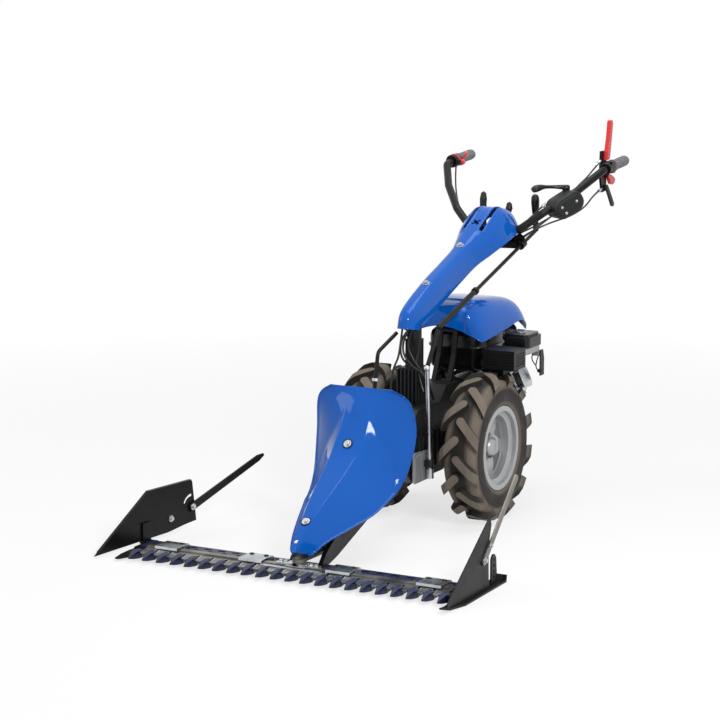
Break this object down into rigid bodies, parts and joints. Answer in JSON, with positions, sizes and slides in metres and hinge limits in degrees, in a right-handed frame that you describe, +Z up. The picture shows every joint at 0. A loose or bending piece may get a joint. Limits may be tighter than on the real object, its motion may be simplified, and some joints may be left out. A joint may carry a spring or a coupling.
{
  "type": "sickle bar mower",
  "caption": "Walk-behind motor mower with a sliding knife bar between pointed guards, two lugged tyres, covered engine and a tilting handle column with levers.",
  "frame": {"origin": "middle of the footprint on the ground", "axes": "+X to the operator left, -Y forwards to the cutter bar, +Y back to the handles, +Z up"},
  "size_m": [1.2546, 2.0595, 1.292],
  "materials": {
    "cast_black": "black paint over rough casting",
    "black_paint": "satin black",
    "black_gloss": "gloss black",
    "black_matte": "matt black",
    "blue_plastic": "gloss blue",
    "navy_steel": "dark blue",
    "bare_steel": "worn bare steel",
    "zinc": "bright zinc plate",
    "rim_silver": "silver paint",
    "aluminium": "cast",
    "tyre": "dull, dusty",
    "grip_grey": "moulded",
    "red_plastic": "gloss red",
    "cable": "black sleeve"
  },
  "bodies": {
    "chassis": {"gearbox_housing": "cast_black", "drive_housing": "cast_black", "bar_support": "black_paint", "bar_plate": "navy_steel", "guards": "navy_steel", "bar_bolts": "black_paint", "knife_clips": "zinc", "right_shoe": "black_paint", "swath_board": "black_paint", "left_shoe": "black_paint", "divider_blade": "black_paint", "height_plate": "black_paint", "front_cover": "blue_plastic", "bell_housing": "cast_black", "crankcase": "aluminium", "engine_barrel": "aluminium", "rocker_cover": "zinc", "blower_housing": "black_gloss", "recoil_cover": "black_gloss", "muffler": "black_paint", "filter_base": "aluminium", "filter_cover": "black_gloss", "fuel_tank": "black_gloss", "hood": "blue_plastic", "hood_bracket": "black_paint", "column_post": "cast_black", "lower_cables": "cable"},
    "left_wheel": {"left_tyre": "tyre", "left_rim": "rim_silver", "left_hub": "bare_steel"},
    "right_wheel": {"right_tyre": "tyre", "right_rim": "rim_silver", "right_hub": "bare_steel"},
    "knife": {"knife_back": "bare_steel", "knife_sections": "bare_steel", "knife_head": "zinc"},
    "rocker": {"rocker_arm": "bare_steel"},
    "swath_stick_arm": {"swath_stick": "black_paint"},
    "divider_stick_arm": {"divider_stick": "bare_steel"},
    "handle": {"column_arm": "black_paint", "column_cover": "blue_plastic", "left_handlebar": "black_paint", "right_handlebar": "black_paint", "grips": "grip_grey", "clutch_bracket": "black_paint", "lever_housing": "black_matte", "handle_cables": "cable"},
    "clutch": {"clutch_lever": "red_plastic"},
    "clutch_latch": {"latch": "red_plastic"},
    "reverse": {"reverse_lever": "black_matte"},
    "throttle": {"throttle_lever": "red_plastic"},
    "paddle": {"paddle_lever": "black_matte"},
    "drive_stick": {"drive_lever": "black_matte"},
    "rear_stick": {"rear_lever": "black_matte"},
    "gear_upper": {"gear_rod": "black_paint"},
    "gear_middle": {"gear_link": "black_paint"},
    "gear_lower": {"chrome_rod": "zinc"},
    "drive_link": {"drive_rod": "black_paint"},
    "wing_nut": {"filter_nut": "zinc"},
    "starter": {"starter_grip": "black_matte"}
  },
  "joints": [
    {"name": "left_wheel_spin", "type": "hinge", "parent": "chassis", "child": "left_wheel", "pos_m": [0.24109, 0.074, 0.2475], "axis": [1, 0, 0], "continuous": true},
    {"name": "right_wheel_spin", "type": "hinge", "parent": "chassis", "child": "right_wheel", "pos_m": [-0.15891, 0.074, 0.2475], "axis": [1, 0, 0], "continuous": true},
    {"name": "knife_stroke", "type": "slide", "parent": "chassis", "child": "knife", "axis": [1, 0, 0], "range_m": [-0.0254, 0.0254]},
    {"name": "rocker_swing", "type": "hinge", "parent": "chassis", "child": "rocker", "pos_m": [0.04109, -0.68, 0.055], "axis": [0, 0, 1], "range_deg": [-8.6, 8.6]},
    {"name": "swath_stick_swing", "type": "hinge", "parent": "chassis", "child": "swath_stick_arm", "pos_m": [-0.55242, -0.52167, 0.08], "axis": [0.9874, -0.1582, 0], "range_deg": [-20, 25]},
    {"name": "divider_stick_swing", "type": "hinge", "parent": "chassis", "child": "divider_stick_arm", "pos_m": [0.61049, -0.758, 0.098], "axis": [1, 0, 0], "range_deg": [-10, 30]},
    {"name": "handle_tilt", "type": "hinge", "parent": "chassis", "child": "handle", "pos_m": [0.04109, -0.086, 0.667], "axis": [1, 0, 0], "range_deg": [-5, 8]},
    {"name": "clutch_lever_pull", "type": "hinge", "parent": "handle", "child": "clutch", "pos_m": [0.33409, 0.876, 1.166], "axis": [-1, 0, 0], "range_deg": [0, 60], "stiffness_Nm_per_rad": 1.2, "springref_deg": -20.05},
    {"name": "latch_press", "type": "hinge", "parent": "handle", "child": "clutch_latch", "pos_m": [0.33409, 0.89, 1.095], "axis": [1, 0, 0], "range_deg": [0, 20], "stiffness_Nm_per_rad": 0.6, "springref_deg": -17.19},
    {"name": "reverse_lever_pull", "type": "hinge", "parent": "handle", "child": "reverse", "pos_m": [0.33409, 0.88, 1.054], "axis": [1, 0, 0], "range_deg": [0, 35], "stiffness_Nm_per_rad": 0.8, "springref_deg": -20.05},
    {"name": "throttle_turn", "type": "hinge", "parent": "handle", "child": "throttle", "pos_m": [-0.26591, 0.87652, 1.12561], "axis": [0, 0.9964, 0.0843], "range_deg": [-25, 35]},
    {"name": "paddle_swing", "type": "hinge", "parent": "handle", "child": "paddle", "pos_m": [0.25609, 0.7, 1.055], "axis": [0, 0, 1], "range_deg": [0, 22], "stiffness_Nm_per_rad": 0.8, "springref_deg": -20.05},
    {"name": "drive_lever_swing", "type": "hinge", "parent": "handle", "child": "drive_stick", "pos_m": [-0.02191, 0.634, 0.908], "axis": [-1, 0, 0], "range_deg": [0, 14]},
    {"name": "rear_lever_swing", "type": "hinge", "parent": "handle", "child": "rear_stick", "pos_m": [0.05509, 0.634, 0.908], "axis": [-1, 0, 0], "range_deg": [0, 14]},
    {"name": "gear_rod_twist", "type": "hinge", "parent": "handle", "child": "gear_upper", "pos_m": [0.14109, -0.086, 0.667], "axis": [0, 0.9576, 0.2881], "range_deg": [-20, 20]},
    {"name": "gear_link_twist", "type": "hinge", "parent": "chassis", "child": "gear_middle", "pos_m": [0.14109, -0.086, 0.667], "axis": [0, 0.5905, 0.807], "range_deg": [-21, 21]},
    {"name": "chrome_rod_twist", "type": "hinge", "parent": "chassis", "child": "gear_lower", "pos_m": [0.14109, -0.149, 0.197], "axis": [0, -0.0776, 0.997], "range_deg": [-21, 21]},
    {"name": "drive_rod_slide", "type": "slide", "parent": "chassis", "child": "drive_link", "axis": [0, 0.2026, 0.9793], "range_m": [-0.013, 0.001]},
    {"name": "filter_nut_turn", "type": "hinge", "parent": "chassis", "child": "wing_nut", "pos_m": [0.24509, 0.346, 0.582], "axis": [0, 0, 1], "continuous": true},
    {"name": "starter_pull", "type": "slide", "parent": "chassis", "child": "starter", "axis": [-0.7071, 0, 0.7071], "range_m": [0, 0.35], "stiffness_N_per_m": 20, "springref_m": -0.25}
  ],
  "couplings": [
    {"joint": "rocker_swing", "follows": "knife_stroke", "rad_per_m": 5.7143},
    {"joint": "gear_link_twist", "follows": "gear_rod_twist", "ratio": 1},
    {"joint": "chrome_rod_twist", "follows": "gear_rod_twist", "ratio": 1},
    {"joint": "drive_rod_slide", "follows": "drive_lever_swing", "m_per_rad": -0.05}
  ]
}
